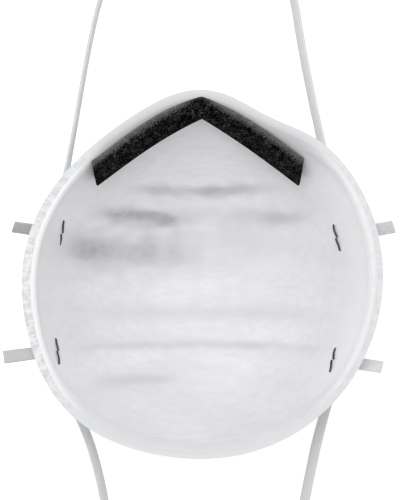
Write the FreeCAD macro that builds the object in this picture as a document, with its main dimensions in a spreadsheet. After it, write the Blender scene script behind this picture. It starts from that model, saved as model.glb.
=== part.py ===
import FreeCAD, Part
import math
import os

import Sketcher

# Disposable moulded cup respirator lying on its front, cup opening upwards.
# Frame: +Z out of the opening towards the wearer, +Y to the nose, X across the face,
# origin on the supporting plane under the middle of the mask.

V = FreeCAD.Vector
os.makedirs("parts", exist_ok=True)
doc = FreeCAD.newDocument("respirator")

DIMENSIONS = {
    # rim outline in plan: a circle with a nose peak, two flatter shoulders and two jaw corners
    "RimRadius": 65.29,
    "NosePeak": 3.06,
    "NoseAngle": 90.8,
    "NoseSpread": 17.3,
    "RightShoulderDip": 3.36,
    "RightShoulderAngle": 67.3,
    "RightShoulderSpread": 15.8,
    "LeftShoulderDip": 3.93,
    "LeftShoulderAngle": 49.0,
    "LeftShoulderSpread": 31.7,
    "RightJawRise": 1.42,
    "RightJawAngle": -73.8,
    "RightJawSpread": 48.6,
    "LeftJawRise": 3.82,
    "LeftJawAngle": -45.9,
    "LeftJawSpread": 26.2,
    # cup
    "CupDepth": 50.0,
    "RimArch": 3.0,
    "FrontRadius": 62.0,
    "FrontDrop": 5.0,
    "FlangeSide": 2.7,
    "FlangeTip": 0.4,
    "FlangePly": 0.35,
    # plies of the wall
    "CoverPly": 0.4,
    "ShellPly": 0.8,
    "MediaPly": 0.8,
    "LinerPly": 0.4,
    # nose foam and nose clip
    "FoamThickness": 5.0,
    "FoamHeight": 6.7,
    "FoamReach": 38.8,
    "FoamShift": -1.4,
    "FoamTop": 47.0,
    "FoamFall": 2.4,
    "FoamNotch": 56.7,
    "GlueThickness": 0.2,
    "ClipThickness": 0.8,
    "ClipHeight": 5.0,
    "ClipReach": 42.0,
    # straps and staples
    "StrapWidth": 4.8,
    "StrapThickness": 1.0,
    "StrapLean": 34.0,
    "StapleWire": 0.6,
    "StapleCrown": 10.2,
    "StapleClinch": 4.3,
    "StapleGap": 0.25,
    "PadLength": 7.0,
    "UpperHinge": 50.0,
    "LowerHinge": -62.0,
}

sheet = doc.addObject("Spreadsheet::Sheet", "Dimensions")
for row, (name, value) in enumerate(DIMENSIONS.items(), start=1):
    sheet.set(f"A{row}", name)
    sheet.set(f"B{row}", str(value))
    sheet.setAlias(f"B{row}", name)
doc.recompute()
D = {name: float(getattr(sheet, name)) for name in DIMENSIONS}

PLIES = ("CoverPly", "ShellPly", "MediaPly", "LinerPly")
WALL = sum(D[ply] for ply in PLIES)
OUTLINE_POINTS = 36
DEPTH_SHARES = (0.0, 0.13, 0.3, 0.48, 0.66, 0.82, 0.93, 1.0)
FRONT_SHARE = 0.95
DEPTH_POWER = 1.45
WIDTH_POWER = 1.85
RIM_MARGIN = 6.0


def bell(angle, spread):
    """A smooth bump of height one, angles in degrees."""
    turn = (angle + 180.0) % 360.0 - 180.0
    return math.exp(-((turn / spread) ** 2))


def rim_radius(angle):
    """Distance from the middle to the rim's edge in plan."""
    radius = D["RimRadius"] + D["NosePeak"] * bell(angle - D["NoseAngle"], D["NoseSpread"])
    for hand, side in (("Right", angle), ("Left", 180.0 - angle)):
        shoulder = bell(side - D[hand + "ShoulderAngle"], D[hand + "ShoulderSpread"])
        jaw = bell(side - D[hand + "JawAngle"], D[hand + "JawSpread"])
        radius += D[hand + "JawRise"] * jaw - D[hand + "ShoulderDip"] * shoulder
    return radius


def flange_width(angle):
    """The flange is broad beside the cheeks and narrow at nose and chin."""
    share = math.cos(math.radians(angle)) ** 2
    return D["FlangeTip"] + (D["FlangeSide"] - D["FlangeTip"]) * share


def bulge(share):
    """Wall radius over rim radius, from 1 at the rim to the flat front."""
    reach = FRONT_SHARE * max(share, 0.0)
    return (1.0 - reach**DEPTH_POWER) ** (1.0 / WIDTH_POWER)


def inward_step(share, offset):
    """Radial and vertical step of a surface lying 'offset' inside the outer face."""
    step = 0.002
    low = max(share - step, 0.0)
    high = min(share + step, 1.0)
    run = D["FrontRadius"] * (bulge(low) - bulge(high))
    rise = D["CupDepth"] * (high - low)
    length = math.hypot(run, rise)
    return -offset * rise / length, offset * run / length


def cup_point(angle, share, offset=0.0):
    """Point of the cup wall: share 0 is the rim plane and 1 the front."""
    rim = rim_radius(angle) - flange_width(angle)
    radius = bulge(share) * ((1.0 - share) * rim + share * D["FrontRadius"])
    radial, vertical = inward_step(share, offset)
    radius += radial
    turn = math.radians(angle)
    height = D["CupDepth"] * (1.0 - share) + vertical
    return V(radius * math.cos(turn), radius * math.sin(turn) - D["FrontDrop"] * share, height)


def closed_curve(points):
    """One smooth closed edge through the points, as a wire."""
    curve = Part.BSplineCurve()
    curve.interpolate(points, PeriodicFlag=True)
    return Part.Wire([curve.toShape()])


def around():
    return [360.0 * i / OUTLINE_POINTS for i in range(OUTLINE_POINTS)]


def cup_solid(offset):
    """Everything inside the wall surface that lies 'offset' in from the outer face."""
    sections = []
    for share in reversed(DEPTH_SHARES):
        sections.append(closed_curve([cup_point(angle, share, offset) for angle in around()]))
    above = sections[-1].copy()
    above.translate(V(0, 0, RIM_MARGIN))
    sections.append(above)
    return Part.makeLoft(sections, True, False)


def under_rim(drop):
    """The space under the rim surface, which arches from nose to chin, lowered by 'drop'."""
    top = D["CupDepth"] - drop
    half = 80.0
    edge = top - D["RimArch"] * (half / D["RimRadius"]) ** 2
    arch = Part.Arc(V(0, -half, edge), V(0, 0, top), V(0, half, edge)).toShape()
    low = -20.0
    sides = Part.makePolygon([V(0, half, edge), V(0, half, low), V(0, -half, low), V(0, -half, edge)])
    face = Part.Face(Part.Wire([arch] + sides.Edges))
    face.translate(V(-half, 0, 0))
    return face.extrude(V(2 * half, 0, 0))


def outline_prism():
    """The rim's outline in plan, as a tall prism round the flange."""
    low = D["CupDepth"] - 15.0
    points = []
    for angle in around():
        turn = math.radians(angle)
        radius = rim_radius(angle)
        points.append(V(radius * math.cos(turn), radius * math.sin(turn), low))
    return Part.Face(closed_curve(points)).extrude(V(0, 0, 20.0))


def add_feature(label, shape, placement=None):
    """A free-form piece as an object of the document."""
    piece = doc.addObject("Part::Feature", label)
    piece.Label = label
    piece.Shape = shape
    piece.Placement = placement or FreeCAD.Placement()
    return piece


# ---- staples: where each one crosses the wall -------------------------------------------

# side, plan position of the clinched legs on the inner face, and their run in plan
STAPLES = {
    "upper_left": ((-51.8, 15.2), (-1.6, -8.8)),
    "upper_right": ((49.9, 13.6), (1.8, -6.9)),
    "lower_left": ((-53.1, -28.0), (1.2, -7.6)),
    "lower_right": ((48.1, -31.4), (-1.9, -7.4)),
}


def wall_frame(plan, run):
    """Place on the outer face over a plan position of the inner face: point, normal, run."""
    low, high = 0.05, 0.9
    for _ in range(40):
        share = 0.5 * (low + high)
        angle = math.degrees(math.atan2(plan[1] + D["FrontDrop"] * share, plan[0]))
        point = cup_point(angle, share, WALL)
        if math.hypot(point.x, point.y) > math.hypot(*plan):
            low = share
        else:
            high = share
    across = cup_point(angle + 0.5, share, WALL) - cup_point(angle - 0.5, share, WALL)
    down = cup_point(angle, share + 0.01, WALL) - cup_point(angle, share - 0.01, WALL)
    normal = across.cross(down).normalize()
    if normal.dot(V(plan[0], plan[1], 0)) < 0:
        normal = -normal
    lift = -(run[0] * normal.x + run[1] * normal.y) / normal.z
    along = V(run[0], run[1], lift).normalize()
    return point + normal * WALL, normal, along


FRAMES = {side: wall_frame(*spot) for side, spot in STAPLES.items()}


def local_placement(origin, x_axis, z_axis):
    """Placement with the given X and Z directions."""
    y_axis = z_axis.cross(x_axis)
    matrix = FreeCAD.Matrix(
        x_axis.x, y_axis.x, z_axis.x, origin.x,
        x_axis.y, y_axis.y, z_axis.y, origin.y,
        x_axis.z, y_axis.z, z_axis.z, origin.z,
        0, 0, 0, 1,
    )
    return FreeCAD.Placement(matrix)


HOLE_PLAY = 0.04


def leg_holes():
    """Pin holes that the staple legs pierce through the wall."""
    holes = []
    spread = 0.5 * (D["StapleCrown"] - D["StapleWire"])
    for point, normal, along in FRAMES.values():
        for end in (-spread, spread):
            start = point + along * end + normal * 3.0
            holes.append(Part.makeCylinder(0.5 * D["StapleWire"] + HOLE_PLAY, WALL + 6.0, start, -normal))
    return Part.makeCompound(holes)


# ---- cup plies --------------------------------------------------------------------------

PRISM = outline_prism()
HOLES = leg_holes()
SURFACES = [cup_solid(sum(D[ply] for ply in PLIES[:i])) for i in range(len(PLIES) + 1)]


def ply_shape(index):
    """One ply: a cup wall with its own turned-out part of the pressed flange."""
    drop_top = D["FlangePly"] * (len(PLIES) - 1 - index)
    wall = SURFACES[index].common(under_rim(drop_top))
    flange = PRISM.common(under_rim(drop_top)).cut(under_rim(drop_top + D["FlangePly"]))
    return wall.fuse(flange).cut(SURFACES[index + 1]).cut(HOLES).removeSplitter()


for index, label in enumerate(("outer_cover", "stiffening_shell", "filter_media", "inner_liner")):
    add_feature(label, ply_shape(index).Solids[0])


# ---- nose foam and nose clip ------------------------------------------------------------

NOSE_SIDE = 5.0
NOSE_LENGTH = 90.0


def level_band(top_drop, height, reach):
    """Slice under the rim arch, over the nose only and no wider than 'reach' each side."""
    band = under_rim(top_drop).cut(under_rim(top_drop + height))
    return band.common(Part.makeBox(2 * reach, NOSE_LENGTH, 80.0, V(-reach, NOSE_SIDE, 0)))


def roof_band():
    """Slab over the nose whose two halves fall away from the fold, as the foam strip does."""
    top = D["FoamTop"]
    left = D["FoamShift"] - D["FoamReach"]
    right = D["FoamShift"] + D["FoamReach"]
    low = top - D["FoamFall"]
    upper = [V(left, NOSE_SIDE, low), V(0, NOSE_SIDE, top), V(right, NOSE_SIDE, low)]
    lower = [point - V(0, 0, D["FoamHeight"]) for point in reversed(upper)]
    outline = Part.makePolygon(upper + lower + upper[:1])
    return Part.Face(outline).extrude(V(0, NOSE_LENGTH, 0))


def fold_notch():
    """Space inside the V of the foam, which is pinched thin at its fold."""
    half = 50.0
    fall = half * NOTCH_SLOPE
    level = D["FoamTop"] - 2 * D["FoamHeight"]
    peak = D["FoamNotch"]
    corners = [V(0, peak, level), V(half, peak - fall, level), V(half, 0, level),
               V(-half, 0, level), V(-half, peak - fall, level), V(0, peak, level)]
    return Part.Face(Part.makePolygon(corners)).extrude(V(0, 0, 4 * D["FoamHeight"]))


def wall_strip(outside, inside, band):
    """Strip that follows the wall between two offsets from the outer face."""
    return cup_solid(outside).common(band).cut(cup_solid(inside)).Solids[0]


NOTCH_SLOPE = 0.72
CLIP_DROP = 6.0
foam_band = roof_band()
glue = D["GlueThickness"]
add_feature("foam_adhesive", wall_strip(WALL, WALL + glue, foam_band))
foam = wall_strip(WALL + glue, WALL + glue + D["FoamThickness"], foam_band)
add_feature("nose_foam", foam.cut(fold_notch()).Solids[0])
clip_band = level_band(CLIP_DROP, D["ClipHeight"], D["ClipReach"])
add_feature("clip_adhesive", wall_strip(-glue, 0.0, clip_band))
add_feature("nose_clip", wall_strip(-glue - D["ClipThickness"], -glue, clip_band))


# ---- staples ----------------------------------------------------------------------------

def plane_of(body, role):
    return next(f for f in body.Origin.OriginFeatures if f.Role == role)


def staple(label, placement):
    """Bent wire staple: crown over two layers of strap, legs through the wall, ends clinched."""
    body = doc.addObject("PartDesign::Body", label)
    body.Label = label
    crown_height = 2 * D["StrapThickness"] + 0.5 * D["StapleWire"]
    clinch_depth = WALL + D["StapleGap"] + 0.5 * D["StapleWire"]
    half = 0.5 * (D["StapleCrown"] - D["StapleWire"])
    tip = half - D["StapleClinch"]
    path = body.newObject("Sketcher::SketchObject", label + "_path")
    path.AttachmentSupport = [(plane_of(body, "XZ_Plane"), "")]
    path.MapMode = "FlatFace"
    corners = [
        V(-tip, -clinch_depth, 0), V(-half, -clinch_depth, 0), V(-half, crown_height, 0),
        V(half, crown_height, 0), V(half, -clinch_depth, 0), V(tip, -clinch_depth, 0),
    ]
    for first, second in zip(corners, corners[1:]):
        path.addGeometry(Part.LineSegment(first, second), False)
    crown = path.addConstraint(Sketcher.Constraint("DistanceX", 2, 1, 2, 2, 2 * half))
    path.setExpression(f"Constraints[{crown}]", "<<Dimensions>>.StapleCrown - <<Dimensions>>.StapleWire")
    profile = body.newObject("Sketcher::SketchObject", label + "_wire")
    profile.AttachmentSupport = [(plane_of(body, "YZ_Plane"), "")]
    profile.MapMode = "FlatFace"
    profile.AttachmentOffset = FreeCAD.Placement(V(0, 0, -tip), FreeCAD.Rotation())
    circle = Part.Circle(V(0, -clinch_depth, 0), V(0, 0, 1), 0.5 * D["StapleWire"])
    profile.addGeometry(circle, False)
    width = profile.addConstraint(Sketcher.Constraint("Diameter", 0, D["StapleWire"]))
    profile.setExpression(f"Constraints[{width}]", "<<Dimensions>>.StapleWire")
    doc.recompute()
    pipe = body.newObject("PartDesign::AdditivePipe", label + "_bent")
    pipe.Profile = profile
    pipe.Spine = (path, [f"Edge{i + 1}" for i in range(len(corners) - 1)])
    pipe.Transition = "Right corner"
    body.Tip = pipe
    body.Placement = placement
    return body


for side, (point, normal, along) in FRAMES.items():
    staple("staple_" + side, local_placement(point, along, normal))


# ---- strap ends under the staples -------------------------------------------------------

# tip of each strap's free end, beside the cheek
TAIL_TIPS = {
    "upper_left": V(-68.6, 17.4, 43.5),
    "upper_right": V(69.4, 17.4, 46.0),
    "lower_left": V(-72.2, -30.0, 44.0),
    "lower_right": V(65.4, -33.6, 43.5),
}


def strap_box(label, length):
    box = doc.addObject("Part::Box", label)
    box.Length = length
    box.setExpression("Width", "<<Dimensions>>.StrapWidth")
    box.setExpression("Height", "<<Dimensions>>.StrapThickness")
    return box


def strap_end(side):
    """Strap end: two folded layers held by the staple and a tab that stands out past the rim."""
    point, normal, along = FRAMES[side]
    name = ("upper_strap_" if "upper" in side else "lower_strap_") + side.split("_")[1] + "_end"
    outward = along.cross(normal).normalize()
    if outward.z < 0:
        outward = -outward
    half_width = 0.5 * D["StrapWidth"]
    pad = strap_box(name + "_pad", D["PadLength"])
    pad.setExpression("Length", "<<Dimensions>>.PadLength")
    pad.setExpression("Height", "2 * <<Dimensions>>.StrapThickness")
    corner = point - outward * 0.5 * D["PadLength"]
    side_axis = normal.cross(outward)
    pad.Placement = local_placement(corner - side_axis * half_width, outward, normal)
    start = point + outward * (0.5 * D["PadLength"] - 1.0) + normal * 0.2
    reach = TAIL_TIPS[side] - start
    across = normal.cross(reach).normalize()
    tab = strap_box(name + "_tab", reach.Length)
    tab_normal = reach.cross(across).normalize()
    tab.Placement = local_placement(start - across * half_width, reach.normalize(), tab_normal)
    end = doc.addObject("Part::MultiFuse", name)
    end.Label = name
    end.Shapes = [pad, tab]
    end.Refine = True
    return end


ENDS = [strap_end(side) for side in STAPLES]


# ---- elastic straps ---------------------------------------------------------------------

UPPER_ROUTE = [
    (-54.0, 17.2, 32.3), (-49.3, 42.0, 25.0), (-43.0, 84.0, 11.5), (-37.5, 110.0, 4.0),
    (-24.0, 134.0, 2.6), (1.0, 143.0, 2.6), (23.0, 133.0, 2.6), (33.8, 110.0, 4.0),
    (37.7, 84.0, 11.5), (46.4, 42.0, 23.4), (52.0, 14.4, 26.9),
]
LOWER_ROUTE = [
    (-55.6, -30.3, 36.9), (-46.0, -55.0, 29.0), (-38.6, -78.0, 19.0), (-34.0, -104.0, 9.0),
    (-25.0, -129.0, 3.0), (-2.0, -142.0, 2.6), (22.0, -134.0, 2.8), (33.5, -110.0, 8.0),
    (39.3, -78.0, 19.0), (44.6, -56.0, 26.5), (50.0, -34.3, 33.8),
]
ARC_SHARE = 0.45


def route_wire(label, points):
    """Straight runs joined by tangent arcs, each as large as its two runs allow."""
    knots = [V(*p) for p in points]
    edges = []
    radii = []
    last = knots[0]
    for before, corner, after in zip(knots, knots[1:], knots[2:]):
        back = before - corner
        ahead = after - corner
        cut = ARC_SHARE * min(back.Length, ahead.Length)
        turn = math.pi - back.getAngle(ahead)
        radius = cut / math.tan(0.5 * turn)
        start = corner + back.normalize() * cut
        stop = corner + ahead.normalize() * cut
        middle = corner + (back + ahead).normalize() * (radius / math.cos(0.5 * turn) - radius)
        edges.append(Part.LineSegment(last, start).toShape())
        edges.append(Part.Arc(start, middle, stop).toShape())
        radii.append(round(radius, 1))
        last = stop
    edges.append(Part.LineSegment(last, knots[-1]).toShape())
    wire = Part.Wire(edges)
    print(label, "length", round(wire.Length, 1), "radii", radii)
    return wire


def strap_solid(label, points, lean):
    """Flat elastic swept along the route, its upper edge leaning out as the cup's wall does."""
    wire = route_wire(label, points)
    first = V(*points[0])
    heading = (V(*points[1]) - first).normalize()
    side = V(0, 0, 1).cross(heading).normalize()
    tilt = FreeCAD.Rotation(heading, lean)
    across = tilt.multVec(side) * (0.5 * D["StrapThickness"])
    up = tilt.multVec(heading.cross(side)) * (0.5 * D["StrapWidth"])
    corners = [first + across + up, first - across + up, first - across - up, first + across - up]
    profile = Part.makePolygon(corners + corners[:1])
    shell = Part.BRepOffsetAPI.MakePipeShell(wire)
    shell.setFrenetMode(False)
    shell.add(profile)
    shell.build()
    shell.makeSolid()
    solid = shell.shape()
    expected = wire.Length * D["StrapWidth"] * D["StrapThickness"]
    print(label, "volume", round(solid.Volume, 1), "section times length", round(expected, 1))
    return solid


def split_strap(name, solid, hinge):
    """Cut a strap at its hinge line into two fixed leads and the loop that swings."""
    reach = 300.0
    near_low = hinge - reach if hinge > 0 else hinge
    near = Part.makeBox(2 * reach, reach, reach, V(-reach, near_low, -0.5 * reach))
    leads = sorted(solid.common(near).Solids, key=lambda s: s.CenterOfMass.x)
    add_feature(name + "_left_lead", leads[0])
    add_feature(name + "_right_lead", leads[1])
    add_feature(name + "_loop", solid.cut(near).Solids[0])


split_strap("upper_strap", strap_solid("upper_strap", UPPER_ROUTE, -D["StrapLean"]), D["UpperHinge"])
split_strap("lower_strap", strap_solid("lower_strap", LOWER_ROUTE, D["StrapLean"]), D["LowerHinge"])

doc.recompute()

NODES = [
    "outer_cover", "stiffening_shell", "filter_media", "inner_liner",
    "nose_foam", "foam_adhesive", "nose_clip", "clip_adhesive",
    "staple_upper_left", "staple_upper_right", "staple_lower_left", "staple_lower_right",
    "upper_strap_left_end", "upper_strap_right_end", "lower_strap_left_end", "lower_strap_right_end",
    "upper_strap_left_lead", "upper_strap_right_lead", "upper_strap_loop",
    "lower_strap_left_lead", "lower_strap_right_lead", "lower_strap_loop",
]

for item in doc.Objects:
    if "Invalid" in item.State or "Error" in item.State:
        raise RuntimeError(f"{item.Label} is in state {item.State}")

for label in NODES:
    shape = doc.getObjectsByLabel(label)[0].Shape
    if shape.isNull() or not shape.isValid() or len(shape.Solids) != 1:
        raise RuntimeError(f"{label} is not one valid solid")
    box = shape.optimalBoundingBox()
    spans = [round(v, 1) for v in (box.XMin, box.XMax, box.YMin, box.YMax, box.ZMin, box.ZMax)]
    print(label, "volume", round(shape.Volume, 1), "box", spans)
    shape.exportStep(f"parts/{label}.step")
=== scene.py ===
import math

import bmesh
import bpy
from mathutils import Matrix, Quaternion, Vector, noise
from mathutils.bvhtree import BVHTree


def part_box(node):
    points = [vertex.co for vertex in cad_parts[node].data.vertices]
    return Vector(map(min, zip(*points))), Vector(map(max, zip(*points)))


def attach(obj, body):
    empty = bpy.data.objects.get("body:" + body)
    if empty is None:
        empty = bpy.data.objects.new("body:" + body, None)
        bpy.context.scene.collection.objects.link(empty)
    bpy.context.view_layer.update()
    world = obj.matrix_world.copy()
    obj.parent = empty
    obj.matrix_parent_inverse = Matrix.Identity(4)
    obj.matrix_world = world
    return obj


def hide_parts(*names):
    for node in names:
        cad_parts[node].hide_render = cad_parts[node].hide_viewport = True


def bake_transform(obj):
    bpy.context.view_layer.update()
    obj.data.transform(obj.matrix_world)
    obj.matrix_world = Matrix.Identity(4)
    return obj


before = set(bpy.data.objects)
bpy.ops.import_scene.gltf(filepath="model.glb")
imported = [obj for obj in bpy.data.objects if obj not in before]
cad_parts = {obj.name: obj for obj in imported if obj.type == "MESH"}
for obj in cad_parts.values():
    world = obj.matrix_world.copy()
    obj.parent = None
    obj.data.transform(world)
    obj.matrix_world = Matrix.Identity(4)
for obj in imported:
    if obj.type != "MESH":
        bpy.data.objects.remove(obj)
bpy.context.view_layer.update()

MM = 0.001
UP = Vector((0.0, 0.0, 1.0))

# ---- sizes of the mask, in metres and degrees -------------------------------------------

RIM_RADIUS = 65.29 * MM
NOSE_BUMP = (3.06 * MM, 90.8, 17.3)
# height, angle and spread of the shoulder's dip and the jaw's rise on the right and on the left
RIGHT_BUMPS = ((-3.36 * MM, 67.3, 15.8), (1.42 * MM, -73.8, 48.6))
LEFT_BUMPS = ((-3.93 * MM, 49.0, 31.7), (3.82 * MM, -45.9, 26.2))
CUP_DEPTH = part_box("inner_liner")[1].z
RIM_ARCH = 3.0 * MM
FRONT_RADIUS = 62.0 * MM
FRONT_DROP = 5.0 * MM
FLANGE_SIDE, FLANGE_TIP = 2.7 * MM, 0.4 * MM
FLANGE_PLY = 0.35 * MM
COVER_PLY, SHELL_PLY, MEDIA_PLY, LINER_PLY = 0.4 * MM, 0.8 * MM, 0.8 * MM, 0.4 * MM
WALL = COVER_PLY + SHELL_PLY + MEDIA_PLY + LINER_PLY
FRONT_SHARE, DEPTH_POWER, WIDTH_POWER = 0.95, 1.45, 1.85
GLUE = 0.2 * MM
FOAM_REACH, FOAM_SHIFT = 38.8 * MM, -1.4 * MM
CLIP_THICKNESS, CLIP_HEIGHT, CLIP_REACH, CLIP_DROP = 0.8 * MM, 5.0 * MM, 42.0 * MM, 6.0 * MM
STRAP_WIDTH, STRAP_THICKNESS, STRAP_LEAN = 4.8 * MM, 1.0 * MM, 34.0
STAPLE_CROWN, STAPLE_CLINCH, STAPLE_GAP = 10.2 * MM, 4.3 * MM, 0.25 * MM
WIRE_WIDTH, WIRE_THICKNESS = 0.92 * MM, 0.6 * MM
PAD_LENGTH = 7.0 * MM


def bell(angle, spread):
    """A smooth bump of height one, angles in degrees."""
    turn = (angle + 180.0) % 360.0 - 180.0
    return math.exp(-((turn / spread) ** 2))


def ease(value, low, high):
    """0 below low, 1 above high and a smooth rise between."""
    share = min(max((value - low) / (high - low), 0.0), 1.0)
    return share * share * (3.0 - 2.0 * share)


def rim_radius(angle):
    """Distance from the middle to the rim's edge in plan."""
    radius = RIM_RADIUS
    for side, bumps in ((angle, (NOSE_BUMP,) + RIGHT_BUMPS), (180.0 - angle, LEFT_BUMPS)):
        for height, middle, spread in bumps:
            radius += height * bell(side - middle, spread)
    return radius


def flange_width(angle):
    """The flange is broad beside the cheeks and narrow at nose and chin."""
    return FLANGE_TIP + (FLANGE_SIDE - FLANGE_TIP) * math.cos(math.radians(angle)) ** 2


def bulge(share):
    """Wall radius over rim radius, from 1 at the rim to the flat front."""
    reach = FRONT_SHARE * max(share, 0.0)
    return (1.0 - reach**DEPTH_POWER) ** (1.0 / WIDTH_POWER)


def inward_step(share, offset):
    """Radial and vertical step of a surface lying 'offset' inside the outer face."""
    step = 0.002
    low, high = max(share - step, 0.0), min(share + step, 1.0)
    run = FRONT_RADIUS * (bulge(low) - bulge(high))
    rise = CUP_DEPTH * (high - low)
    length = math.hypot(run, rise)
    return -offset * rise / length, offset * run / length


def cup_point(angle, share, offset=0.0):
    """Point of the cup wall: share 0 is the rim plane and 1 the front."""
    rim = rim_radius(angle) - flange_width(angle)
    radius = bulge(share) * ((1.0 - share) * rim + share * FRONT_RADIUS)
    radial, vertical = inward_step(share, offset)
    radius += radial
    turn = math.radians(angle)
    height = CUP_DEPTH * (1.0 - share) + vertical
    return Vector((radius * math.cos(turn), radius * math.sin(turn) - FRONT_DROP * share, height))


def rim_height(y, drop=0.0):
    """Height of the rim surface, which arches from nose to chin."""
    return CUP_DEPTH - RIM_ARCH * (y / RIM_RADIUS) ** 2 - drop


# ---- colours and node helper ------------------------------------------------------------

def colour(code):
    """A hex sRGB colour as linear RGBA."""
    parts = [int(code[i:i + 2], 16) / 255.0 for i in (1, 3, 5)]
    return [c / 12.92 if c <= 0.04045 else ((c + 0.055) / 1.055) ** 2.4 for c in parts] + [1.0]


def add(tree, kind, sockets=None, **settings):
    """Adds a node, sets its properties and fills its sockets with values or links."""
    made = tree.nodes.new(kind)
    for name, value in settings.items():
        setattr(made, name, value)
    for key, value in (sockets or {}).items():
        if isinstance(value, bpy.types.NodeSocket):
            tree.links.new(value, made.inputs[key])
        else:
            made.inputs[key].default_value = value
    return made


def new_material(name):
    """An empty Principled material: material, tree, shader."""
    made = bpy.data.materials.new(name)
    made.use_nodes = True
    tree = made.node_tree
    return made, tree, tree.nodes["Principled BSDF"]


def per_mm(size):
    """Texture scale at which one cell is 'size' millimetres on Object coordinates."""
    return 1.0 / (size * MM)


def mix_colours(tree, factor, first, second):
    mixed = add(tree, "ShaderNodeMix", {0: factor, 6: first, 7: second}, data_type="RGBA")
    return mixed.outputs[2]


def spunbond_polypropylene():
    """Thermally bonded polypropylene web: matt white. Painted shade greys the liner's creases and its
    lip at nose and chin, and painted light whitens its cheek lips and the tops of its side walls.
    """
    made, tree, shader = new_material("spunbond polypropylene")
    place = add(tree, "ShaderNodeTexCoord").outputs["Object"]
    clouds = add(tree, "ShaderNodeTexNoise", {"Vector": place, "Scale": per_mm(9.0), "Detail": 3.0})
    fibres = add(tree, "ShaderNodeTexNoise", {"Vector": place, "Scale": per_mm(0.9), "Detail": 4.0,
                                              "Roughness": 0.65})
    # painted shade: grey mixed in along the liner's creases and on the lip at nose and chin
    painted_shade = add(tree, "ShaderNodeAttribute", attribute_name="painted_shade").outputs["Fac"]
    # painted light: near-white mixed onto the cheek lips and the tops of the side walls
    pressed_and_painted_light = add(tree, "ShaderNodeAttribute", attribute_name="pressed_and_painted_light").outputs["Fac"]
    drawn = add(tree, "ShaderNodeMapping", {"Vector": place, "Scale": (0.3, 1.0, 1.0)})
    streaks = add(tree, "ShaderNodeTexNoise", {"Vector": drawn.outputs["Vector"],
                                               "Scale": per_mm(2.0), "Detail": 3.0})
    cloudy = mix_colours(tree, clouds.outputs["Fac"], colour("#E8E8EA"), colour("#F1F1F3"))
    lines = add(tree, "ShaderNodeMapRange", {0: streaks.outputs["Fac"], 1: 0.35, 2: 0.6, 3: 0.22,
                                             4: 0.0})
    laid = mix_colours(tree, lines.outputs["Result"], cloudy, colour("#D2D2D5"))
    share = add(tree, "ShaderNodeMath", {0: streaks.outputs["Fac"], 1: 0.8, 2: 0.6},
                operation="MULTIPLY_ADD")
    # painted shade weight: streaky, scaled by the painted shade attribute
    shade_weight = add(tree, "ShaderNodeMath", {0: share.outputs["Value"], 1: painted_shade}, operation="MULTIPLY")
    shaded_web = mix_colours(tree, shade_weight.outputs["Value"], laid, colour("#B1B1B5"))
    base = mix_colours(tree, pressed_and_painted_light, shaded_web, colour("#FBFBFC"))
    tree.links.new(base, shader.inputs["Base Color"])
    shader.inputs["Roughness"].default_value = 0.82
    shader.inputs["Specular IOR Level"].default_value = 0.35
    shader.inputs["Sheen Weight"].default_value = 0.12
    shader.inputs["Sheen Roughness"].default_value = 0.5
    soft = add(tree, "ShaderNodeBump", {"Height": clouds.outputs["Fac"], "Strength": 0.25,
                                        "Distance": 0.5 * MM})
    fine = add(tree, "ShaderNodeBump", {"Height": fibres.outputs["Fac"], "Strength": 0.3,
                                        "Distance": 0.12 * MM, "Normal": soft.outputs["Normal"]})
    tree.links.new(fine.outputs["Normal"], shader.inputs["Normal"])
    return made


def heat_pressed_web():
    """The same web pressed between hot ribbed jaws: denser, a little glossier and ribbed beside the
    cheeks. At nose and chin an even grey stands in for the shade on the lip: painted shade.
    """
    made, tree, shader = new_material("heat-pressed polypropylene web")
    lay = add(tree, "ShaderNodeUVMap", uv_map="weld").outputs["UV"]
    place = add(tree, "ShaderNodeTexCoord").outputs["Object"]
    ribs = add(tree, "ShaderNodeTexWave", {"Vector": lay, "Scale": 0.18, "Distortion": 2.5,
                                           "Detail": 1.0}, wave_type="BANDS", bands_direction="X")
    clouds = add(tree, "ShaderNodeTexNoise", {"Vector": place, "Scale": per_mm(2.2), "Detail": 3.0})
    pressed_and_painted_light = add(tree, "ShaderNodeAttribute", attribute_name="pressed_and_painted_light").outputs["Fac"]
    mottle = add(tree, "ShaderNodeMapRange", {0: clouds.outputs["Fac"], 1: 0.38, 2: 0.62})
    dense = mix_colours(tree, mottle.outputs["Result"], colour("#DADBDE"), colour("#F2F3F4"))
    # painted shade: even grey where the attribute is 0, at nose and chin; the mottled dense web beside
    # the cheeks is its own colour
    base = mix_colours(tree, pressed_and_painted_light, colour("#E0E1E3"), dense)
    tree.links.new(base, shader.inputs["Base Color"])
    shader.inputs["Roughness"].default_value = 0.7
    depth = add(tree, "ShaderNodeMath", {0: pressed_and_painted_light, 1: 0.7}, operation="MULTIPLY").outputs["Value"]
    ribbed = add(tree, "ShaderNodeBump", {"Height": ribs.outputs["Fac"], "Strength": depth,
                                          "Distance": 0.22 * MM})
    rough = add(tree, "ShaderNodeBump", {"Height": clouds.outputs["Fac"], "Strength": depth,
                                         "Distance": 0.35 * MM, "Normal": ribbed.outputs["Normal"]})
    tree.links.new(rough.outputs["Normal"], shader.inputs["Normal"])
    return made


def fibre_felt(name, dark, light):
    """Loose needled or blown fibre, as at the cut edge of the wall."""
    made, tree, shader = new_material(name)
    place = add(tree, "ShaderNodeTexCoord").outputs["Object"]
    tufts = add(tree, "ShaderNodeTexNoise", {"Vector": place, "Scale": per_mm(0.6), "Detail": 5.0})
    base = mix_colours(tree, tufts.outputs["Fac"], colour(dark), colour(light))
    tree.links.new(base, shader.inputs["Base Color"])
    shader.inputs["Roughness"].default_value = 0.95
    rough = add(tree, "ShaderNodeBump", {"Height": tufts.outputs["Fac"], "Strength": 0.5,
                                         "Distance": 0.2 * MM})
    tree.links.new(rough.outputs["Normal"], shader.inputs["Normal"])
    return made


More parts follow.
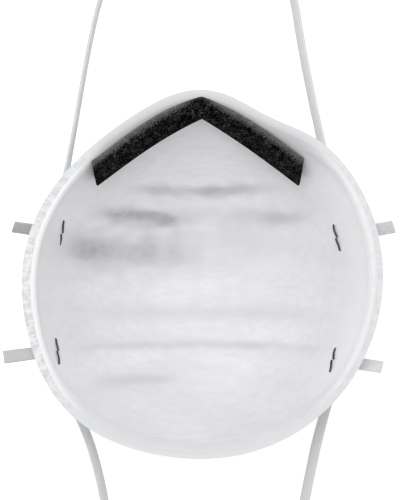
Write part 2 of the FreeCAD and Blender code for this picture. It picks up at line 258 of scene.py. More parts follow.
def open_cell_foam():
    """Reticulated polyurethane: near-black pores between grey struts, with a painted highlight along
    its upper edge and painted shade at the fold.
    """
    made, tree, shader = new_material("open-cell polyurethane foam")
    place = add(tree, "ShaderNodeTexCoord").outputs["Object"]
    across = add(tree, "ShaderNodeAttribute", attribute_name="across").outputs["Fac"]
    pores = add(tree, "ShaderNodeTexNoise", {"Vector": place, "Scale": per_mm(0.55), "Detail": 2.0})
    patches = add(tree, "ShaderNodeTexNoise", {"Vector": place, "Scale": per_mm(2.6), "Detail": 1.0})
    # painted highlight: more grey struts towards the strip's upper edge
    upper = add(tree, "ShaderNodeMapRange", {0: across, 1: 0.10, 2: 0.42, 3: 0.34, 4: 0.0})
    patchy = add(tree, "ShaderNodeMath", {0: patches.outputs["Fac"], 1: 0.22, 2: -0.11},
                 operation="MULTIPLY_ADD")
    level = add(tree, "ShaderNodeMath", {0: pores.outputs["Fac"], 1: 0.6, 2: upper.outputs["Result"]},
                operation="MULTIPLY_ADD")
    grain = add(tree, "ShaderNodeMath", {0: level.outputs["Value"], 1: patchy.outputs["Value"]})
    struts = add(tree, "ShaderNodeMapRange", {0: grain.outputs["Value"], 1: 0.29, 2: 0.80})
    base = mix_colours(tree, struts.outputs["Result"], colour("#040405"), colour("#807E7C"))
    tree.links.new(base, shader.inputs["Base Color"])
    shader.inputs["Roughness"].default_value = 0.95
    shader.inputs["Specular IOR Level"].default_value = 0.02
    rough = add(tree, "ShaderNodeBump", {"Height": pores.outputs["Fac"], "Strength": 0.8,
                                         "Distance": 0.35 * MM})
    tree.links.new(rough.outputs["Normal"], shader.inputs["Normal"])
    return made


def flat_elastic():
    """Extruded thermoplastic elastic: pale cool grey, fine cords along its length, with painted shade
    on some free ends.
    """
    made, tree, shader = new_material("thermoplastic elastic band")
    lay = add(tree, "ShaderNodeUVMap", uv_map="band").outputs["UV"]
    place = add(tree, "ShaderNodeTexCoord").outputs["Object"]
    cords = add(tree, "ShaderNodeTexWave", {"Vector": lay, "Scale": 0.42, "Distortion": 0.0},
                wave_type="BANDS", bands_direction="X")
    mottle = add(tree, "ShaderNodeTexNoise", {"Vector": place, "Scale": per_mm(1.2), "Detail": 3.0})
    shade_weight = add(tree, "ShaderNodeAttribute", attribute_name="shade_weight").outputs["Fac"]
    unshaded = mix_colours(tree, mottle.outputs["Fac"], colour("#D6D8D9"), colour("#E6E8E8"))
    # painted shade: free ends mixed towards a darker grey by their shade weight
    base = mix_colours(tree, shade_weight, unshaded, colour("#B3B6B2"))
    tree.links.new(base, shader.inputs["Base Color"])
    shader.inputs["Roughness"].default_value = 0.5
    ribbed = add(tree, "ShaderNodeBump", {"Height": cords.outputs["Fac"], "Strength": 0.5,
                                          "Distance": 0.15 * MM})
    rough = add(tree, "ShaderNodeBump", {"Height": mottle.outputs["Fac"], "Strength": 0.2,
                                         "Distance": 0.15 * MM, "Normal": ribbed.outputs["Normal"]})
    tree.links.new(rough.outputs["Normal"], shader.inputs["Normal"])
    return made


def annealed_aluminium():
    """Soft rolled aluminium strip: satin, with faint rolling lines and small dents."""
    made, tree, shader = new_material("annealed aluminium strip")
    place = add(tree, "ShaderNodeTexCoord").outputs["Object"]
    squeeze = add(tree, "ShaderNodeMapping", {"Vector": place, "Scale": (0.08, 0.08, 1.0)})
    lines = add(tree, "ShaderNodeTexNoise", {"Vector": squeeze.outputs["Vector"],
                                             "Scale": per_mm(0.5), "Detail": 4.0})
    shader.inputs["Base Color"].default_value = colour("#C4C6C8")
    shader.inputs["Metallic"].default_value = 1.0
    gloss = add(tree, "ShaderNodeMapRange", {0: lines.outputs["Fac"], 3: 0.3, 4: 0.48})
    tree.links.new(gloss.outputs["Result"], shader.inputs["Roughness"])
    rough = add(tree, "ShaderNodeBump", {"Height": lines.outputs["Fac"], "Strength": 0.15,
                                         "Distance": 0.08 * MM})
    tree.links.new(rough.outputs["Normal"], shader.inputs["Normal"])
    return made


def galvanised_wire():
    """Zinc-coated steel staple wire, dulled: dark grey with a soft highlight."""
    made, tree, shader = new_material("galvanised steel wire")
    place = add(tree, "ShaderNodeTexCoord").outputs["Object"]
    spangle = add(tree, "ShaderNodeTexNoise", {"Vector": place, "Scale": per_mm(0.4), "Detail": 3.0})
    base = mix_colours(tree, spangle.outputs["Fac"], colour("#2E2F31"), colour("#5E6064"))
    tree.links.new(base, shader.inputs["Base Color"])
    shader.inputs["Metallic"].default_value = 1.0
    shader.inputs["Roughness"].default_value = 0.42
    rough = add(tree, "ShaderNodeBump", {"Height": spangle.outputs["Fac"], "Strength": 0.2,
                                         "Distance": 0.03 * MM})
    tree.links.new(rough.outputs["Normal"], shader.inputs["Normal"])
    return made


def transfer_adhesive():
    """Acrylic transfer tape: thin, straw-tinted and slightly glossy at its edge."""
    made, tree, shader = new_material("acrylic transfer adhesive")
    place = add(tree, "ShaderNodeTexCoord").outputs["Object"]
    smear = add(tree, "ShaderNodeTexNoise", {"Vector": place, "Scale": per_mm(3.0), "Detail": 2.0})
    base = mix_colours(tree, smear.outputs["Fac"], colour("#CFCBBE"), colour("#DEDACE"))
    tree.links.new(base, shader.inputs["Base Color"])
    shader.inputs["Roughness"].default_value = 0.35
    return made


WEB = spunbond_polypropylene()
WELD = heat_pressed_web()
FELT = fibre_felt("moulded polyester felt", "#D2D1CC", "#E8E7E3")
MELT_BLOWN = fibre_felt("melt-blown polypropylene", "#E2E3E4", "#F4F5F5")
FOAM = open_cell_foam()
ELASTIC = flat_elastic()
ALUMINIUM = annealed_aluminium()
WIRE = galvanised_wire()
TAPE = transfer_adhesive()


# ---- building helpers -------------------------------------------------------------------

def grow_ring(bm, edges, order):
    """Extrudes an open ring of edges: its new edges, and the place of each new vertex in the ring."""
    grown = bmesh.ops.extrude_edge_only(bm, edges=edges)["geom"]
    fresh = [v for v in grown if isinstance(v, bmesh.types.BMVert)]
    rim = [e for e in grown if isinstance(e, bmesh.types.BMEdge) and e.is_boundary]
    index = {}
    for vert in fresh:
        index[vert] = next(order[e.other_vert(vert)] for e in vert.link_edges
                           if e.other_vert(vert) in order)
    return rim, index


def make_object(name, bm, materials, smooth_angle=40.0):
    """Turns a bmesh into an object at the origin, shaded smooth except at sharp edges."""
    bmesh.ops.recalc_face_normals(bm, faces=bm.faces)
    limit = math.radians(smooth_angle)
    for edge in bm.edges:
        edge.smooth = not (edge.is_manifold and edge.calc_face_angle(0.0) > limit)
    for face in bm.faces:
        face.smooth = True
    mesh = bpy.data.meshes.new(name)
    bm.to_mesh(mesh)
    bm.free()
    for item in materials:
        mesh.materials.append(item)
    made = bpy.data.objects.new(name, mesh)
    bpy.context.scene.collection.objects.link(made)
    return made


# ---- cup plies --------------------------------------------------------------------------

# soft creases in the liner: middle x and y, half length, slope, width and height, in mm
CREASES = (
    (0.5, 31.4, 23.5, 0.01, 1.9, 1.45),
    (-22.5, 21.7, 15.0, -0.08, 2.3, 2.00),
    (8.0, 22.5, 28.0, -0.03, 3.0, 0.45),
    (31.0, 21.0, 8.0, 0.00, 2.4, 0.60),
    (-29.0, 8.5, 24.0, -0.05, 6.5, 1.30),
    (6.0, 12.0, 30.0, 0.00, 7.0, 0.35),
    (4.0, -15.2, 42.0, 0.00, 2.6, 0.35),
    (-2.0, -27.3, 44.0, 0.00, 1.5, 0.60),
    (-26.0, -39.5, 15.0, 0.00, 1.9, 0.50),
)


# crease height at which the liner's painted shade is full
CREASE_SHADE_FULL = 1.7 * MM
# painted shade on the lip, at the nose and at the chin
LIP_SHADE_NOSE_CHIN = (0.34, 0.12)
# depth share down the side walls over which their painted light fades out
WALL_LIGHT_DEPTH = 0.5


def crease_height(x, y):
    """How far the liner stands off the media at a place in plan."""
    height = 0.0
    for middle_x, middle_y, half, slope, width, rise in CREASES:
        along = (x / MM - middle_x) / half
        wander = 0.9 * noise.noise(Vector((x / MM * 0.06, middle_y, 0.0)))
        wander += 0.4 * noise.noise(Vector((x / MM * 0.24, middle_y, 0.0)))
        across = (y / MM - middle_y - slope * (x / MM - middle_x) - wander) / width
        across /= 1.0 + 0.5 * noise.noise(Vector((x / MM * 0.17, y / MM * 0.3, 8.0)))
        uneven = 0.9 + 0.5 * noise.noise(Vector((x / MM * 0.13, middle_y, 5.0)))
        height += rise * MM * uneven * math.exp(-across * across - abs(along)**3.6)
    ripple = noise.noise(Vector((x / MM * 0.035, y / MM * 0.11, 3.0)))
    return height + 0.22 * MM * (ripple + 0.5)


FRONT_FLAT = FRONT_RADIUS * bulge(1.0)
FRONT_SLOPE = 0.33
FRONT_ROUNDING = 10.0 * MM


def front_round(radius):
    """Lift that rounds the corner between the wall and the flat middle of the front."""
    near = max(FRONT_ROUNDING - abs(radius - FRONT_FLAT), 0.0)
    return FRONT_SLOPE * near * near / (4.0 * FRONT_ROUNDING)


def side_share(angle):
    """1 beside the cheeks and 0 at nose and chin, where the rim is pressed flat."""
    lean = abs(math.cos(math.radians(angle)))
    return ease(lean, 0.58, 0.92)


def hand_share(angle):
    """1 on the right of the face, 0 on its left."""
    return ease(math.cos(math.radians(angle)), -0.3, 0.3)


def ply_stations(outer, inner, drop_top, steps, bead):
    """Places round one ply from the middle of its outer face, over the lip, to the inner one."""
    under = drop_top + FLANGE_PLY
    stations = [("disc", i / DISC_RINGS, outer, 0.0, False) for i in range(1, DISC_RINGS)]
    stations += [("wall", 1.0 - i / steps, outer, 0.0, False) for i in range(steps + 1)]
    stations += [("lip", share, outer, under, False) for share in (0.12, 0.3, 0.55, 0.8)]
    stations += [("lip", 1.0, outer, under, False), ("lip", 1.0, inner, drop_top, False)]
    for share, lift, pressed_and_painted_light in (bead or PLAIN_LIP):
        stations.append(("lip", 1.0 - share, inner, drop_top - lift, pressed_and_painted_light))
    stations += [("wall", i / steps, inner, 0.0, False) for i in range(steps + 1)]
    stations += [("disc", 1.0 - i / DISC_RINGS, inner, 0.0, False) for i in range(1, DISC_RINGS)]
    return stations


# share of the way from the lip's edge to the inner wall, height over the lip, and whether the
# web is pressed there
PLAIN_LIP = tuple((share, 0.0, False) for share in (0.15, 0.35, 0.55, 0.75, 0.9))
LINER_LIP = (
    (0.05, 0.02 * MM, True), (0.22, 0.02 * MM, True), (0.36, 0.04 * MM, True),
    (0.43, 0.12 * MM, True), (0.50, 0.36 * MM, False), (0.57, 0.54 * MM, False),
    (0.65, 0.64 * MM, False), (0.73, 0.66 * MM, False), (0.81, 0.58 * MM, False),
    (0.89, 0.36 * MM, False), (0.96, 0.10 * MM, False),
)
DISC_RINGS = 8
BEND_SHARE = (0.04, 0.16)
LIP_DEPTH = (7.0 * MM, 1.1 * MM)
LIP_POWER = (1.8, 7.0)


def lip_value(pair, angle):
    """A value of the lip between its nose and its cheek."""
    return pair[0] + (pair[1] - pair[0]) * side_share(angle)


def wall_top(angle):
    """Depth share at which the wall turns out into the lip."""
    top = rim_height(rim_radius(angle) * math.sin(math.radians(angle)), lip_value(LIP_DEPTH, angle))
    return max(1.0 - top / CUP_DEPTH, 0.0)


def lip_place(angle, share, offset, drop):
    """Point of the lip: share 0 is the wall's top and 1 the edge. At nose and chin it is round."""
    turn = math.radians(angle)
    start = cup_point(angle, wall_top(angle), offset)
    edge = Vector((math.cos(turn), math.sin(turn), 0.0)) * rim_radius(angle)
    place = start.lerp(edge, share)
    fall = rim_height(start.y, drop) - start.z
    place.z = rim_height(place.y, drop) - fall * (1.0 - share) ** lip_value(LIP_POWER, angle)
    return place


def ply_place(station, angle, inner, creased):
    """Position of one station at one angle."""
    kind, share, offset, drop, _ = station
    if kind == "lip":
        if offset == inner:
            share = 1.0 - (1.0 - share) ** (1.0 - 0.42 * side_share(angle) * (1.0 - hand_share(angle)))
        if drop < 0.0:
            drop *= side_share(angle)
        return lip_place(angle, share, offset, drop)
    turn = math.radians(angle)
    lowest = wall_top(angle)
    depth = 1.0 if kind == "disc" else lowest + share * (1.0 - lowest)
    place = cup_point(angle, depth, offset)
    if kind == "disc":
        middle = Vector((0.0, -FRONT_DROP, place.z))
        place = middle + (place - middle) * share
    place.z += front_round(math.hypot(place.x, place.y + FRONT_DROP * depth))
    if creased and offset == inner:
        fade = 1.0 if kind == "disc" else ease(share, *BEND_SHARE)
        radial, vertical = inward_step(depth, crease_height(place.x, place.y) * fade)
        place += Vector((radial * math.cos(turn), radial * math.sin(turn), vertical))
    return place


def cup_ply(name, outer, inner, drop_top, finish, segments, steps, bead=(), creased=False):
    """One closed ply of the cup, drawn out ring by ring from the middle of its outer face."""
    stations = ply_stations(outer, inner, drop_top, steps, bead)
    bm = bmesh.new()
    weld = bm.loops.layers.uv.new("weld")
    pressed_and_painted_light = bm.verts.layers.float.new("pressed_and_painted_light")
    painted_shade = bm.verts.layers.float.new("painted_shade")
    ring = bmesh.ops.create_circle(bm, cap_ends=True, cap_tris=True, segments=segments, radius=1.0)
    verts = sorted((v for v in ring["verts"] if len(v.link_faces) == 2),
                   key=lambda v: math.atan2(v.co.y, v.co.x) % (2 * math.pi))
    centre = next(v for v in bm.verts if len(v.link_faces) > 2)
    centre.co = Vector((0.0, -FRONT_DROP, cup_point(0.0, 1.0, outer).z))
    angles = [360.0 * i / segments for i in range(segments)]
    for vert, angle in zip(verts, angles):
        vert.co = ply_place(stations[0], angle, inner, creased)
    edges = [e for e in bm.edges if e.is_boundary]
    order = {vert: i for i, vert in enumerate(verts)}
    for row, station in enumerate(stations[1:]):
        edges, index = grow_ring(bm, edges, order)
        for vert, i in index.items():
            vert.co = ply_place(station, angles[i], inner, creased)
            on_lip = station[0] == "lip"
            beside = side_share(angles[i])
            # painted shade on the lip: full at nose and chin, none beside the cheeks
            lip_shade = LIP_SHADE_NOSE_CHIN[0] if angles[i] < 180.0 else LIP_SHADE_NOSE_CHIN[1]
            # painted light on the cheek lips, less on the right; the same weight sets the real ribs of
            # the pressed rim
            vert[pressed_and_painted_light] = beside * (1.0 - 0.6 * hand_share(angles[i])) if on_lip else 0.0
            vert[painted_shade] = lip_shade * (1.0 - beside) if on_lip else 0.0
            if creased and station[2] == inner and not on_lip:
                # painted shade in the liner's creases, darker where the crease stands higher
                vert[painted_shade] = min(crease_height(vert.co.x, vert.co.y) / CREASE_SHADE_FULL, 1.0)
                # painted light on the tops of the side walls, more on the right
                wall_light = beside * (0.45 + 0.5 * hand_share(angles[i]))
                if station[0] == "wall":
                    vert[pressed_and_painted_light] = wall_light * (1.0 - ease(station[1], 0.05, WALL_LIGHT_DEPTH))
        for face in {f for e in edges for f in e.link_faces}:
            face.material_index = 1 if station[-1] else 0
            for loop in face.loops:
                i = index.get(loop.vert, order.get(loop.vert, 0))
                loop[weld].uv = (math.radians(angles[i]) * RIM_RADIUS / MM, row)
        order = index
    last = bmesh.ops.contextual_create(bm, geom=edges)["faces"]
    for vert in bmesh.ops.poke(bm, faces=last)["verts"]:
        vert.co = Vector((0.0, -FRONT_DROP, cup_point(0.0, 1.0, inner).z))
        if creased:
            vert.co.z += crease_height(vert.co.x, vert.co.y)
    return make_object(name, bm, [finish, WELD])


cover = cup_ply("outer_cover_web", 0.0, COVER_PLY, 3 * FLANGE_PLY, WEB, 192, 54)
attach(cover, "mask")
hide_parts("outer_cover")

shell = cup_ply("moulded_shell", COVER_PLY, COVER_PLY + SHELL_PLY, 2 * FLANGE_PLY, FELT, 144, 24)
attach(shell, "mask")
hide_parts("stiffening_shell")

media = cup_ply("filter_media_piece", COVER_PLY + SHELL_PLY, WALL - LINER_PLY, FLANGE_PLY, MELT_BLOWN,
                144, 24)
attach(media, "mask")
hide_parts("filter_media")

liner = cup_ply("inner_liner_web", WALL - LINER_PLY, WALL, 0.0, WEB, 240, 84, LINER_LIP, True)
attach(liner, "mask")
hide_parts("inner_liner")


# ---- strips that follow the wall over the nose ------------------------------------------

def wall_at(x, height, offset):
    """Point of the nose wall at a side position and height, so far off the outer face."""
    share = 1.0 - height / CUP_DEPTH
    low, high = 10.0, 170.0
    for _ in range(26):
        angle = 0.5 * (low + high)
        place = cup_point(angle, share, offset)
        if place.x > x:
            low = angle
        else:
            high = angle
    return place


def rim_wall_at(x, drop, offset):
    """The same, so far under the rim."""
    height = rim_height(0.0, drop)
    for _ in range(3):
        height = rim_height(wall_at(x, height, offset).y, drop)
    return wall_at(x, height, offset)


def lined_block(cuts):
    """A cube of size two with extra edges round each of its three directions."""
    bm = bmesh.new()
    bmesh.ops.create_cube(bm, size=2.0)
    for axis, count in enumerate(cuts):
        lined = [e for e in bm.edges if abs(e.verts[0].co[axis] - e.verts[1].co[axis]) > 1.0]
        bmesh.ops.subdivide_edges(bm, edges=lined, cuts=count, use_grid_fill=True)
    return bm


liner_tree = BVHTree.FromObject(liner, bpy.context.evaluated_depsgraph_get())

# the foam's upper and lower edges in plan: at the fold, and slope and bow of the left and right arm
FOAM_UPPER = (65.2 * MM, (0.580, 0.600), (3.0 * MM, 2.2 * MM))
FOAM_LOWER = (56.0 * MM, (0.642, 0.695), (1.7 * MM, 0.9 * MM))
END_SLANT, END_ROUND = 1.9 * MM, 0.9 * MM
FACE_SHARE = 0.42


def foam_edge(edge, x):
    """Plan position across the nose of one edge of the foam."""
    start, slopes, bows = edge
    hand = 1 if x > 0.0 else 0
    share = min(abs(x) / FOAM_REACH, 1.0)
    return start - slopes[hand] * abs(x) + bows[hand] * math.sin(math.pi * share**0.85)


def on_liner(x, y, gap):
    """Place over the liner's inner face."""
    hit = liner_tree.ray_cast(Vector((x, y, 0.2)), -UP)[0]
    return Vector((x, y, hit.z + gap))


def foam_place(along, down, off):
    """Place in the foam strip: along it from -1 to 1, down the wall and off the wall from -1 to 1."""
    corner = (abs(down) ** 4) * (abs(off) ** 4)
    deep = 0.5 * (1.0 + down * (1.0 - 0.12 * corner))
    out = 0.5 * (1.0 + off * (1.0 - 0.12 * corner))
    short = END_SLANT * (FACE_SHARE * out + (1.0 - FACE_SHARE) * deep) + END_ROUND * abs(down)**6 * out
    x = FOAM_SHIFT + along * (FOAM_REACH - short)
    lumps = noise.noise(Vector((x / MM * 0.3, down * 1.3, off * 1.3)))
    upper, lower = foam_edge(FOAM_UPPER, x), foam_edge(FOAM_LOWER, x)
    base_low = upper + (lower - upper) * (1.0 - FACE_SHARE)
    base = on_liner(x, upper + (base_low - upper) * deep, GLUE)
    top, bottom = on_liner(x, upper, GLUE), on_liner(x, base_low, GLUE)
    slope = (top.z - bottom.z) / (upper - base_low)
    stand = min((base_low - lower) / slope, 3.0 * MM)
    lift = (0.35 + 0.65 * deep) * stand * (1.0 + 0.14 * lumps)
    return base + Vector((0.0, (lower - base_low) * out, lift * out))


def tape_place(along, down, off):
    """Place in the adhesive between the liner and the foam, a little short of the foam's edges."""
    x = FOAM_SHIFT + along * (FOAM_REACH - 0.8 * END_SLANT)
    upper, lower = foam_edge(FOAM_UPPER, x), foam_edge(FOAM_LOWER, x)
    reach = (1.0 - FACE_SHARE) * (lower - upper)
    y = upper + reach * (0.5 + 0.4 * down)
    return on_liner(x, y, 0.5 * GLUE * (1.0 + off))


def clip_place(along, down, off):
    """Place in the clip: a flat strip with rounded ends, bent to the outer face."""
    past = max(abs(along) - 0.94, 0.0) / 0.0601
    deep = 0.5 * (1.0 + down * max(math.sqrt(max(1.0 - past * past, 0.0)), 0.06))
    offset = -GLUE - 0.5 * CLIP_THICKNESS * (1.0 - off)
    return rim_wall_at(along * CLIP_REACH, CLIP_DROP + CLIP_HEIGHT * deep, offset)


def nose_strip(name, finish, cuts, place):
    """A long block bent to the nose wall."""
    bm = lined_block(cuts)
    across = bm.verts.layers.float.new("across")
    for vert in bm.verts:
        # place across the strip for the foam's painted highlight; the bell term cuts the highlight at
        # the fold, painted shade there
        vert[across] = 0.25 * (2.0 + vert.co.y + vert.co.z) + 0.2 * bell(vert.co.x, 0.14)
        vert.co = place(*vert.co)
    return make_object(name, bm, [finish], 50.0)


foam = nose_strip("nose_foam_piece", FOAM, (219, 13, 9), foam_place)
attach(foam, "mask")
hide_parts("nose_foam")

tape = nose_strip("foam_tape_piece", TAPE, (199, 9, 1), tape_place)
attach(tape, "mask")
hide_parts("foam_adhesive")

clip = nose_strip("nose_clip_piece", ALUMINIUM, (119, 5, 1), clip_place)
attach(clip, "mask")
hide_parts("nose_clip")


# ---- staples and strap ends -------------------------------------------------------------

def band_section(width, thickness):
    """Flat section with soft edges, as points across and over it."""
    half, thick, soft = 0.5 * width, 0.5 * thickness, 0.45 * thickness
    side = [(half - soft, -thick), (half - 0.3 * soft, -0.6 * thick), (half, 0.0),
            (half - 0.3 * soft, 0.6 * thick), (half - soft, thick)]
    return [(0.0, -thick)] + side + [(0.0, thick)] + [(-x, -y) for x, y in side]


def wire_section(width, thickness):
    """Oval section of flattened wire."""
    turns = [math.radians(36.0 * i) for i in range(10)]
    return [(0.5 * width * math.cos(t), 0.5 * thickness * math.sin(t)) for t in turns]


def spline_points(name, points, steps=16):
    """Points along a smooth NURBS line that has the given points as its control points."""
    curve = bpy.data.curves.new(name, "CURVE")
    curve.dimensions = "3D"
    curve.resolution_u = steps
    spline = curve.splines.new("NURBS")
    spline.points.add(len(points) - 1)
    for knot, point in zip(spline.points, points):
        knot.co = (*point, 1.0)
    spline.order_u = 3
    spline.use_endpoint_u = True
    holder = bpy.data.objects.new(name, curve)
    bpy.context.scene.collection.objects.link(holder)
    bpy.context.view_layer.update()
    mesh = bpy.data.meshes.new_from_object(holder)
    line = [v.co.copy() for v in mesh.vertices]
    bpy.data.objects.remove(holder)
    bpy.data.meshes.remove(mesh)
    return line


def line_length(line):
    return sum((b - a).length for a, b in zip(line, line[1:]))


def sweep(name, line, axes, section, finish):
    """Carries a section along a line; axes give the direction of its width at each point."""
    bm = bmesh.new()
    lay = bm.loops.layers.uv.new("band")
    ring = bmesh.ops.create_circle(bm, cap_ends=True, segments=len(section), radius=1.0)["verts"]
    order = {vert: i for i, vert in enumerate(ring)}
    edges = list(bm.edges)
    travelled = 0.0
    for step, (point, axis) in enumerate(zip(line, axes)):
        heading = (line[min(step + 1, len(line) - 1)] - line[max(step - 1, 0)]).normalized()
        across = (axis - heading * axis.dot(heading)).normalized()
        over = heading.cross(across)
        index = order
        if step:
            travelled += (point - line[step - 1]).length
            edges, index = grow_ring(bm, edges, order)
        for vert, i in index.items():
            vert.co = point + across * section[i][0] + over * section[i][1]
        if step:
            for face in {f for e in edges for f in e.link_faces}:
                for loop in face.loops:
                    i = index.get(loop.vert, order.get(loop.vert, 0))
                    loop[lay].uv = (section[i][0] / MM, travelled / MM)
        order = index
    bmesh.ops.contextual_create(bm, geom=edges)
    return make_object(name, bm, [finish], 60.0)


# side, plan position of the clinched legs on the inner face in mm, and their run in plan
STAPLES = {
    "upper_left": ((-51.8, 15.2), (-1.6, -8.8)),
    "upper_right": ((49.9, 13.6), (1.8, -6.9)),
    "lower_left": ((-53.1, -28.0), (1.2, -7.6)),
    "lower_right": ((48.1, -31.4), (-1.9, -7.4)),
}
# tip of each strap's free end, beside the cheek, in mm
TAIL_TIPS = {
    "upper_left": (-68.6, 17.4, 43.5),
    "upper_right": (69.4, 17.4, 46.0),
    "lower_left": (-72.2, -30.0, 44.0),
    "lower_right": (65.4, -33.6, 43.5),
}
# painted shade on each free end, 0 to 1
TAIL_SHADES = {"upper_left": 1.0, "upper_right": 0.1, "lower_left": 0.7, "lower_right": 0.1}
# turn of each free end about its own length, in degrees
TAIL_ROLLS = {"upper_left": 14.0, "upper_right": -8.0, "lower_left": 6.0, "lower_right": 0.0}


def wall_frame(plan, run):
    """Place on the outer face over a plan position of the inner face: point, normal, run."""
    spot = Vector((*plan, 0.0)) * MM
    low, high = 0.05, 0.9
    for _ in range(40):
        share = 0.5 * (low + high)
        angle = math.degrees(math.atan2(spot.y + FRONT_DROP * share, spot.x))
        point = cup_point(angle, share, WALL)
        if math.hypot(point.x, point.y) > spot.length:
            low = share
        else:
            high = share
    across = cup_point(angle + 0.5, share, WALL) - cup_point(angle - 0.5, share, WALL)
    down = cup_point(angle, share + 0.01, WALL) - cup_point(angle, share - 0.01, WALL)
    normal = across.cross(down).normalized()
    if normal.dot(spot) < 0.0:
        normal = -normal
    lift = -(run[0] * normal.x + run[1] * normal.y) / normal.z
    return point + normal * WALL, normal, Vector((run[0], run[1], lift)).normalized()


def staple_piece(side, point, normal, along):
    """Staple: a crown over the strap, two legs through the wall, and their clinched ends."""
    out = along.cross(normal)
    crown = 2.0 * STRAP_THICKNESS + 0.5 * WIRE_THICKNESS
    clinch = -WALL - STAPLE_GAP - 0.5 * WIRE_THICKNESS
    half = 0.5 * (STAPLE_CROWN - WIRE_THICKNESS)
    bend = 0.7 * MM
    tip = 0.3 * (half - STAPLE_CLINCH)
    leg = [(-tip, clinch, 0.50), (-tip - 1.0 * MM, clinch - 0.15 * MM, 0.25),
           (-0.6 * (tip + half), clinch - 0.1 * MM, -0.15),
           (-half + bend, clinch, 0.0), (-half, clinch, 0.0), (-half, clinch + bend, 0.0),
           (-half, 0.5 * crown, 0.0), (-half, crown - bend, 0.0), (-half, crown, 0.0),
           (-half + bend, crown, 0.0), (-0.3 * half, crown, 0.0)]
    route = leg + [(-x, z, -aside) for x, z, aside in reversed(leg)]
    knots = [point + along * x + normal * z + out * (aside * MM) for x, z, aside in route]
    line = spline_points("staple_route", knots, 6)
    made = sweep("staple_wire_" + side, line, [out] * len(line),
                 wire_section(WIRE_WIDTH, WIRE_THICKNESS), WIRE)
    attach(made, "mask")
    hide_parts("staple_" + side)


def strap_tail(side, point, normal, along):
    """Strap end: the tab beyond the rim, the layer under the staple and the one folded over it."""
    outward = along.cross(normal).normalized()
    if outward.z < 0.0:
        outward = -outward
    half, layer = 0.5 * PAD_LENGTH, 0.5 * STRAP_THICKNESS
    tip = Vector(TAIL_TIPS[side]) * MM
    places = [(1.05 * half, 1.3 * layer), (0.4 * half, layer), (-0.75 * half, layer), (-half, layer),
              (-half, 3.0 * layer), (-0.75 * half, 3.0 * layer), (0.0, 3.0 * layer),
              (0.95 * half, 3.0 * layer)]
    knots = [tip] + [point + outward * x + normal * z for x, z in places]
    knots.insert(1, tip.lerp(knots[1], 0.5) + normal * 0.3 * MM)
    line = spline_points("tail_route", knots, 10)
    axes = []
    for step in range(len(line)):
        heading = (line[min(step + 1, len(line) - 1)] - line[max(step - 1, 0)]).normalized()
        roll = TAIL_ROLLS[side] * (1.0 - ease((line[step] - tip).length, 4.0 * MM, 11.0 * MM))
        axes.append(Quaternion(heading, math.radians(roll)) @ along)
    upper, hand = side.split("_")
    made = sweep(f"{upper}_strap_tail_{hand}", line, axes,
                 band_section(STRAP_WIDTH, 0.94 * STRAP_THICKNESS), ELASTIC)
    # painted shade on this free end
    shade_weight = made.data.attributes.new("shade_weight", "FLOAT", "POINT")
    shade_weight.data.foreach_set("value", [TAIL_SHADES[side]] * len(made.data.vertices))
    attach(made, "mask")
    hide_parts(f"{upper}_strap_{hand}_end")
    return made


for side, spot in STAPLES.items():
    place = wall_frame(*spot)
    staple_piece(side, *place)
    strap_tail(side, *place)


# ---- elastic straps ---------------------------------------------------------------------

# the routes, in millimetres, from the left staple to the right one
UPPER_ROUTE = (
    (-54.0, 17.2, 32.3), (-49.3, 42.0, 25.0), (-43.0, 84.0, 11.5), (-37.5, 110.0, 4.0),
    (-24.0, 134.0, 2.6), (1.0, 143.0, 2.6), (23.0, 133.0, 2.6), (34.2, 110.0, 4.0),
    (37.6, 84.0, 11.5), (45.8, 42.0, 23.4), (52.0, 14.4, 26.9),
)
LOWER_ROUTE = (
    (-55.6, -30.3, 36.9), (-44.0, -54.0, 29.0), (-37.8, -76.0, 19.6), (-33.8, -104.0, 9.0),
    (-25.0, -129.0, 3.0), (-2.0, -142.0, 2.6), (22.0, -134.0, 2.8), (34.0, -110.0, 8.0),
    (39.6, -78.0, 19.0), (43.8, -56.0, 26.5), (50.0, -34.3, 33.8),
)
TWIST_END = 0.12


def strap(side, route, leans, outward):
    """One elastic from staple to staple: flat to the cup at each staple, then leaning as it runs."""
    name = side + "_strap"
    line = spline_points(name, [Vector(point) * MM for point in route])
    total = line_length(line)
    axes = []
    travelled = 0.0
    for step, point in enumerate(line):
        if step:
            travelled += (point - line[step - 1]).length
        share = travelled / total
        left = ease(share, 0.0, TWIST_END)
        right = ease(share, 0.38, 0.62)
        end = ease(share, 1.0 - TWIST_END, 1.0)
        lean = STRAP_LEAN + (leans[0] - STRAP_LEAN) * left + (leans[1] - leans[0]) * right
        lean += (STRAP_LEAN - leans[1]) * end
        heading = (line[min(step + 1, len(line) - 1)] - line[max(step - 1, 0)]).normalized()
        beside = UP.cross(heading).normalized() * outward
        stand = heading.cross(beside) * outward
        axes.append(stand * math.cos(math.radians(lean)) + beside * math.sin(math.radians(lean)))
    made = sweep(name + "_band", line, axes, band_section(STRAP_WIDTH, STRAP_THICKNESS), ELASTIC)
    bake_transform(made)
    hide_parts(*(f"{name}_{part}" for part in ("left_lead", "right_lead", "loop")))


strap("upper", UPPER_ROUTE, (12.0, 33.0), 1.0)
strap("lower", LOWER_ROUTE, (34.0, 45.0), -1.0)


# ---- carried-over solids ----------------------------------------------------------------

glue_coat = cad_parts["clip_adhesive"].data.materials
glue_coat.clear()
glue_coat.append(TAPE)


# ---- floor, light and camera ------------------------------------------------------------

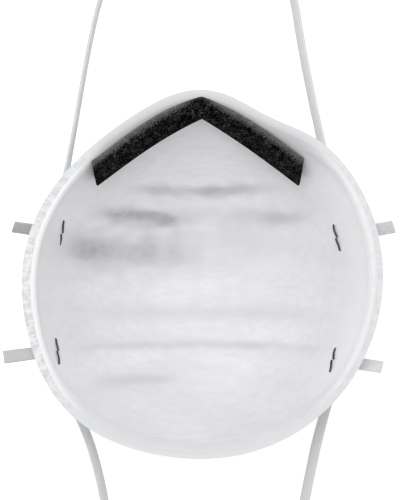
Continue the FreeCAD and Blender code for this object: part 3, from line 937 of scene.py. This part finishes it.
def pale_floor():
    """A plain white floor that the camera sees a little brighter than the light leaves it."""
    bm = bmesh.new()
    bmesh.ops.create_grid(bm, x_segments=1, y_segments=1, size=3.0)
    made, tree, shader = new_material("white paper sweep")
    shader.inputs["Base Color"].default_value = colour("#F4F4F4")
    shader.inputs["Roughness"].default_value = 0.9
    rays = add(tree, "ShaderNodeLightPath")
    glow = add(tree, "ShaderNodeMath", {0: rays.outputs["Is Camera Ray"], 1: 0.45},
               operation="MULTIPLY")
    shader.inputs["Emission Color"].default_value = (1.0, 1.0, 1.0, 1.0)
    tree.links.new(glow.outputs["Value"], shader.inputs["Emission Strength"])
    floor = make_object("floor", bm, [made])


def area_light(name, place, aim, size, power):
    lamp = bpy.data.lights.new(name, "AREA")
    lamp.shape = "DISK"
    lamp.size = size
    lamp.energy = power
    holder = bpy.data.objects.new(name, lamp)
    holder.location = place
    holder.rotation_euler = (Vector(aim) - Vector(place)).to_track_quat("-Z", "Y").to_euler()
    bpy.context.scene.collection.objects.link(holder)


def studio_world():
    """Even pale surroundings, plain white behind the object."""
    world = bpy.data.worlds.new("studio")
    world.use_nodes = True
    tree = world.node_tree
    back = tree.nodes["Background"]
    rays = add(tree, "ShaderNodeLightPath")
    seen = add(tree, "ShaderNodeMath", {0: rays.outputs["Is Camera Ray"],
                                        1: rays.outputs["Is Glossy Ray"]}, operation="MAXIMUM")
    level = add(tree, "ShaderNodeMapRange", {0: seen.outputs["Value"], 3: 0.58, 4: 1.0})
    back.inputs["Color"].default_value = (1.0, 1.0, 1.0, 1.0)
    tree.links.new(level.outputs["Result"], back.inputs["Strength"])
    bpy.context.scene.world = world


pale_floor()
studio_world()
area_light("soft light from the nose side", (-0.15, 0.45, 1.05), (0.0, -0.02, 0.02), 0.7, 4.35)
area_light("wide overhead", (0.1, -0.1, 1.3), (0.0, 0.0, 0.0), 1.2, 2.4)

CAMERA_DISTANCE = 0.9
FRAME_WIDTH = 145.2 * MM
SENSOR = 36.0
camera_data = bpy.data.cameras.new("camera")
camera_data.sensor_fit = "HORIZONTAL"
camera_data.sensor_width = SENSOR
camera_data.lens = SENSOR * CAMERA_DISTANCE / FRAME_WIDTH
camera = bpy.data.objects.new("camera", camera_data)
camera.location = (-0.4 * MM, 9.0 * MM, CUP_DEPTH + CAMERA_DISTANCE)
bpy.context.scene.collection.objects.link(camera)
bpy.context.scene.camera = camera
bpy.context.scene.view_settings.view_transform = "Standard"
